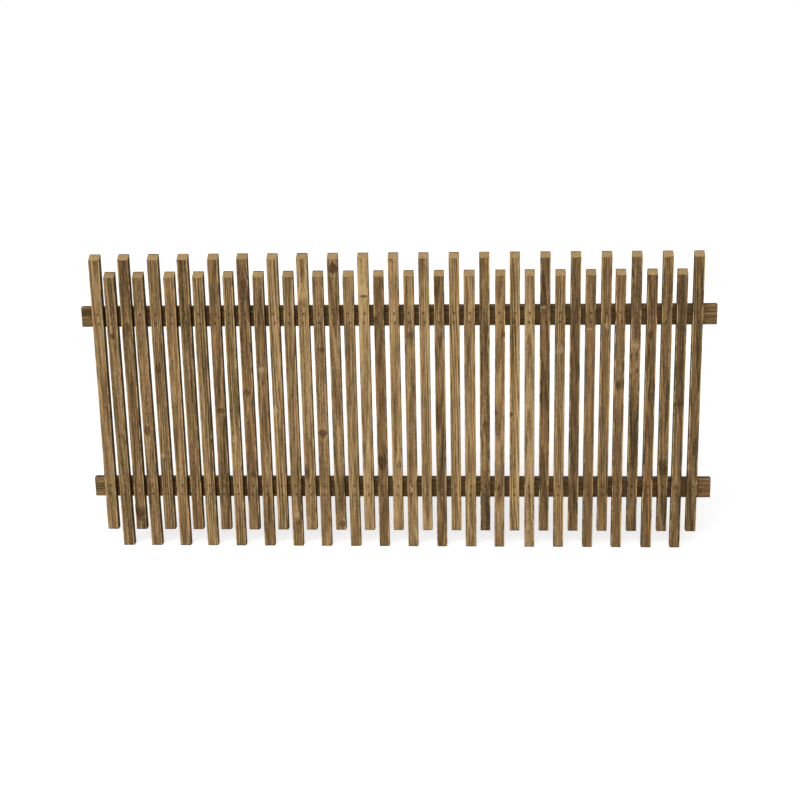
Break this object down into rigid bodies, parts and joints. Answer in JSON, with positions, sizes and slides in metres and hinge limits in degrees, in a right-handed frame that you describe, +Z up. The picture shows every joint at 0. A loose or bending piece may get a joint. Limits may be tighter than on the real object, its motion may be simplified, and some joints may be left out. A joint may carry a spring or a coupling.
{
  "type": "picket fence panel",
  "caption": "Low wooden fence panel: narrow upright pickets, alternately high and low, nailed in front of flat rails whose bare ends are screwed to posts.",
  "frame": {"origin": "middle of the top rail's back face, in the plane that meets the posts", "axes": "+X along the rails, to the right seen from the picket side; +Y out of the rails' back, away from the pickets; +Z up"},
  "size_m": [1.8, 0.044, 0.8652],
  "materials": {
    "picket_wood": "sawn pine, pressure-treated brown, matt",
    "rail_wood": "sawn pine, pressure-treated brown, matt",
    "nail_steel": "darkened wire nail, matt"
  },
  "bodies": {
    "root": {"picket_01": "picket_wood", "picket_02": "picket_wood", "picket_03": "picket_wood", "picket_04": "picket_wood", "picket_05": "picket_wood", "picket_06": "picket_wood", "picket_07": "picket_wood", "picket_08": "picket_wood", "picket_09": "picket_wood", "picket_10": "picket_wood", "picket_11": "picket_wood", "picket_12": "picket_wood", "picket_13": "picket_wood", "picket_14": "picket_wood", "picket_15": "picket_wood", "picket_16": "picket_wood", "picket_17": "picket_wood", "picket_18": "picket_wood", "picket_19": "picket_wood", "picket_20": "picket_wood", "picket_21": "picket_wood", "picket_22": "picket_wood", "picket_23": "picket_wood", "picket_24": "picket_wood", "picket_25": "picket_wood", "picket_26": "picket_wood", "picket_27": "picket_wood", "picket_28": "picket_wood", "picket_29": "picket_wood", "picket_30": "picket_wood", "picket_31": "picket_wood", "picket_32": "picket_wood", "picket_33": "picket_wood", "picket_34": "picket_wood", "picket_35": "picket_wood", "picket_36": "picket_wood", "picket_37": "picket_wood", "picket_38": "picket_wood", "picket_39": "picket_wood", "picket_40": "picket_wood", "picket_41": "picket_wood", "top_rail": "rail_wood", "bottom_rail": "rail_wood", "top_rail_nails": "nail_steel", "bottom_rail_nails": "nail_steel"}
  },
  "joints": []
}
